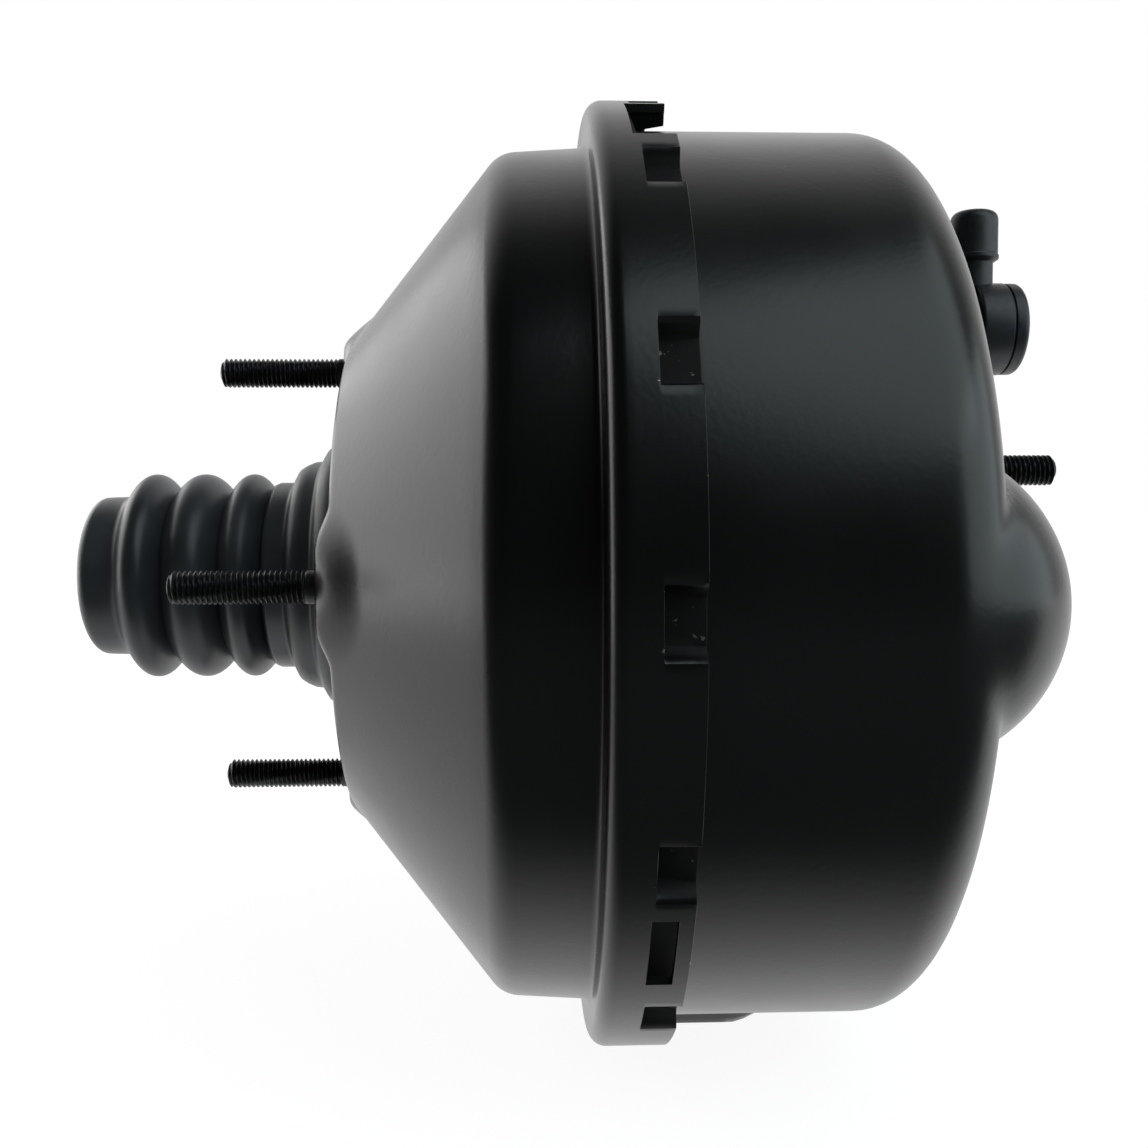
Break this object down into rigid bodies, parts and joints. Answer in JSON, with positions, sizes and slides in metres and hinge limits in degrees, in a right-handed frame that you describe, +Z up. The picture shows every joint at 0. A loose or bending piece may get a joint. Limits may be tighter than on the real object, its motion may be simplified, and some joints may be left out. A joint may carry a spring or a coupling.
{
  "type": "brake booster",
  "caption": "Tandem vacuum brake booster with pressed steel shells, locked skirt, pedal-side boot and studs, swivelling check valve and working power piston",
  "frame": {"origin": "centre of the bulkhead stud circle, in the plane of the four stud pads", "axes": "+X along the axis to the master cylinder, +Z up, +Y to the left seen from the pedal"},
  "size_m": [0.2602, 0.2501, 0.2502],
  "materials": {
    "shell_paint": "semi-gloss black paint",
    "pressed_steel": "bare pressed steel",
    "stud_steel": "dark phosphated steel",
    "zinc_steel": "yellow-zinc plated steel",
    "spring_steel": "oiled spring steel",
    "rubber": "matte black rubber",
    "valve_plastic": "dark blue-grey glass-filled plastic",
    "body_plastic": "dark phenolic moulding",
    "guide_plastic": "natural nylon",
    "filter_foam": "grey open-cell foam",
    "felt": "grey felt"
  },
  "bodies": {
    "housing": {"rear_shell": "shell_paint", "rear_reinforcement": "pressed_steel", "rear_studs": "stud_steel", "neck_bush": "guide_plastic", "neck_seal": "rubber", "neck_seal_retainer": "pressed_steel", "boot": "rubber", "front_shell": "shell_paint", "front_reinforcement": "pressed_steel", "master_cylinder_studs": "stud_steel", "front_seal": "rubber", "divider_plate": "pressed_steel", "divider_seal": "rubber", "divider_bush": "guide_plastic", "check_valve_grommet": "rubber"},
    "power_piston": {"rear_diaphragm": "rubber", "rear_piston_plate": "pressed_steel", "front_diaphragm": "rubber", "front_piston_plate": "pressed_steel", "valve_body": "body_plastic", "stop_key": "zinc_steel", "piston_retaining_ring": "spring_steel", "return_spring_seat": "pressed_steel", "piston_return_spring": "spring_steel", "reaction_disc": "rubber", "output_rod": "zinc_steel", "output_rod_retainer": "spring_steel", "output_rod_screw": "zinc_steel", "input_return_spring": "spring_steel", "poppet_retainer": "pressed_steel", "poppet_valve": "rubber", "poppet_spring": "spring_steel", "filter_retainer": "pressed_steel", "silencer_felt": "felt", "air_filter": "filter_foam"},
    "air_valve": {"valve_plunger": "zinc_steel", "reaction_piston": "zinc_steel"},
    "pedal_rod": {"input_rod": "zinc_steel", "input_spring_seat": "pressed_steel"},
    "check_valve": {"check_valve_body": "valve_plastic", "check_valve_cap": "valve_plastic", "check_valve_spring": "spring_steel"},
    "check_disc": {"check_valve_disc": "rubber"}
  },
  "joints": [
    {"name": "power_piston_stroke", "type": "slide", "parent": "housing", "child": "power_piston", "axis": [1, 0, 0], "range_m": [0, 0.035], "stiffness_N_per_m": 3000, "springref_m": -0.03, "deforming": ["boot", "piston_return_spring", "rear_diaphragm", "front_diaphragm"]},
    {"name": "air_valve_travel", "type": "slide", "parent": "power_piston", "child": "air_valve", "axis": [1, 0, 0], "range_m": [0, 0.002], "stiffness_N_per_m": 2500, "springref_m": -0.004, "deforming": ["input_return_spring", "poppet_valve", "poppet_spring"]},
    {"name": "input_rod_tilt", "type": "hinge", "parent": "air_valve", "child": "pedal_rod", "pos_m": [-0.001, 0, 0], "axis": [0, 1, 0], "range_deg": [-2, 2], "stiffness_Nm_per_rad": 1},
    {"name": "check_valve_swivel", "type": "hinge", "parent": "housing", "child": "check_valve", "pos_m": [0.1617, 0, 0.0686], "axis": [1, 0, 0], "continuous": true},
    {"name": "check_disc_lift", "type": "slide", "parent": "check_valve", "child": "check_disc", "axis": [1, 0, 0], "range_m": [0, 0.0018], "stiffness_N_per_m": 60, "springref_m": -0.001, "deforming": ["check_valve_spring"]}
  ]
}
